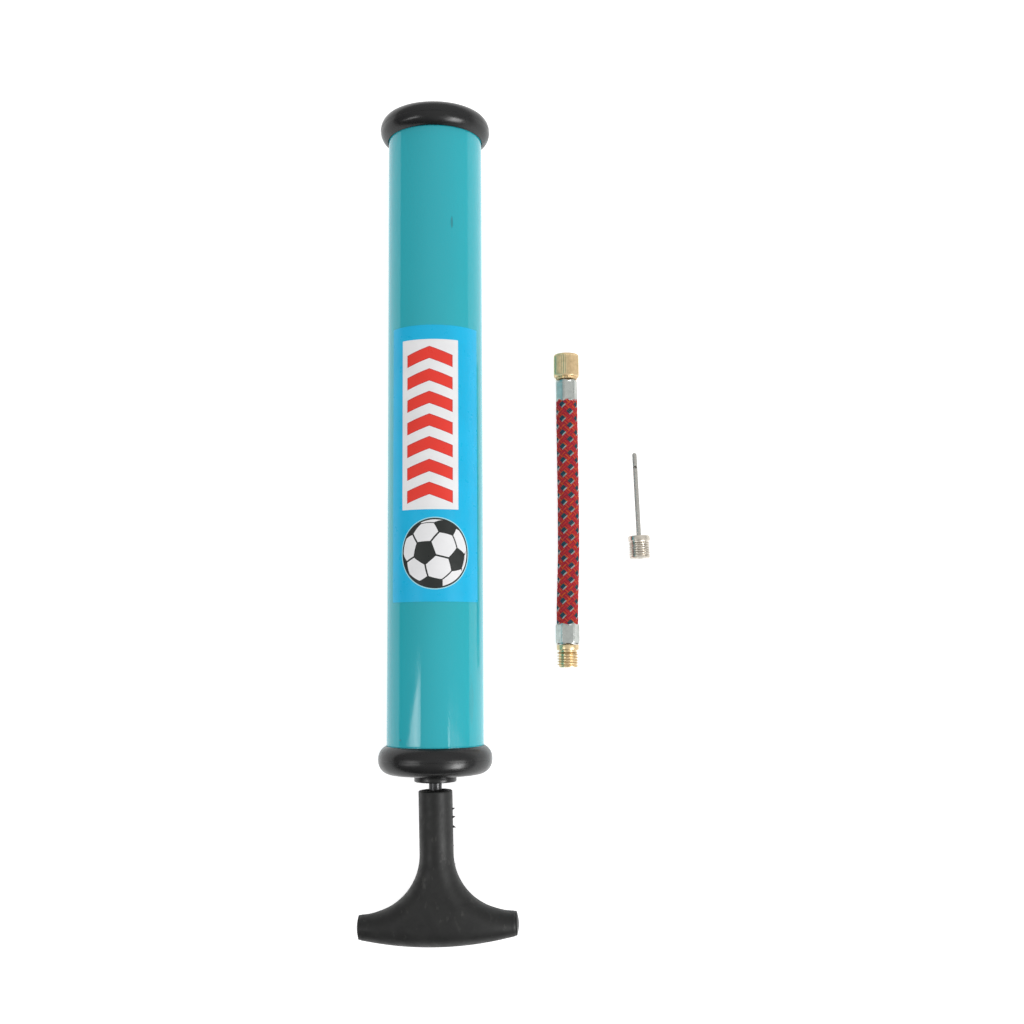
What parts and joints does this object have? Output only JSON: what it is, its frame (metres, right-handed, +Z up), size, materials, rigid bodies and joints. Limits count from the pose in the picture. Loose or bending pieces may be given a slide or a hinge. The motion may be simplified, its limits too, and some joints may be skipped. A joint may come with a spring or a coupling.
{
  "type": "ball inflation pump",
  "caption": "Hand pump for sports balls: barrel with sliding T-handle plunger and valve outlet, with a loose braided hose and an inflation needle beside it.",
  "frame": {"origin": "on the surface the pump lies on, under the middle of the pump and needle together", "axes": "+Y along the pump from the T-handle to the outlet, +X from the pump towards the hose and the needle, +Z up from the surface"},
  "size_m": [0.1053, 0.2966, 0.0398],
  "materials": {
    "teal_barrel": "gloss",
    "sticker_blue": "gloss",
    "black_cap": "gloss",
    "black_rod": "satin",
    "charcoal_handle": "matte",
    "black_rubber": "matte",
    "brass": "turned",
    "zinc_ferrule": "bright zinc",
    "red_braid": "woven",
    "nickel_hub": "nickel plate",
    "needle_steel": "polished",
    "steel": "satin",
    "white_plastic": "matte"
  },
  "bodies": {
    "barrel": {"barrel_tube": "teal_barrel", "barrel_label": "sticker_blue", "handle_cap": "black_cap", "outlet_cap": "black_cap", "outlet_cap_o_ring": "black_rubber", "rod_guide_bush": "black_cap", "buffer_washer": "black_rubber", "outlet_bush": "brass", "valve_retainer": "brass", "valve_spring": "steel"},
    "valve": {"valve_ball": "steel"},
    "piston": {"piston_cup": "black_rubber", "piston_front_disc": "white_plastic", "piston_back_disc": "white_plastic"},
    "rod_and_handle": {"piston_rod": "black_rod", "piston_washer": "steel", "piston_nut": "steel", "t_handle": "charcoal_handle"},
    "hose": {"hose_braid": "red_braid", "nut_end_ferrule": "zinc_ferrule", "nut_end_stem": "brass", "nut_seat_washer": "black_rubber", "outlet_end_ferrule": "zinc_ferrule", "outlet_end_fitting": "brass"},
    "hose_nut": {"knurled_nut": "brass"},
    "needle": {"needle_hub": "nickel_hub", "needle_tube": "needle_steel"}
  },
  "joints": [
    {"name": "plunger_slide", "type": "slide", "parent": "barrel", "child": "piston", "axis": [0, -1, 0], "range_m": [0, 0.1855]},
    {"name": "handle_spin", "type": "hinge", "parent": "piston", "child": "rod_and_handle", "pos_m": [-0.02564, -0.09545, 0.0199], "axis": [0, -1, 0], "continuous": true},
    {"name": "valve_lift", "type": "slide", "parent": "barrel", "child": "valve", "axis": [0, 1, 0], "range_m": [0, 0.0012], "stiffness_N_per_m": 50, "springref_m": -0.0008, "deforming": ["valve_spring"]},
    {"name": "hose_lift", "type": "slide", "parent": "barrel", "child": "hose", "axis": [0, 0, 1], "range_m": [0, 0.1]},
    {"name": "hose_nut_spin", "type": "hinge", "parent": "hose", "child": "hose_nut", "pos_m": [0.02236, 0.05765, 0.00465], "axis": [0, 1, 0], "continuous": true},
    {"name": "needle_lift", "type": "slide", "parent": "barrel", "child": "needle", "axis": [0, 0, 1], "range_m": [0, 0.1]}
  ]
}
